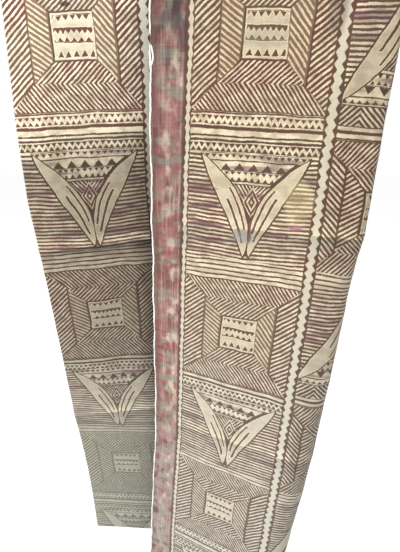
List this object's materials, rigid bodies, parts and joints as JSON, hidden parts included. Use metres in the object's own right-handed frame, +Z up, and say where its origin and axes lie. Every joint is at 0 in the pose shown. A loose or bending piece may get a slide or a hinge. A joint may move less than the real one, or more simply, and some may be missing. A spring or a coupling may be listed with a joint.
{
  "type": "hanging printed fabric length",
  "caption": "Length of printed cotton hung from its top edge and folded round on itself, a front panel lapping over a left panel, with a geometric hand-cut print.",
  "frame": {"origin": "middle of the hung top edge, at the front panel", "axes": "+Z up along the hanging length, -Y towards the viewer's side, +X to the viewer's right"},
  "size_m": [0.4115, 0.211, 0.9991],
  "materials": {
    "printed_cotton": "plain-woven cotton, matt, printed in burgundy brown on cream"
  },
  "bodies": {
    "root": {"cloth": "printed_cotton"}
  },
  "joints": []
}
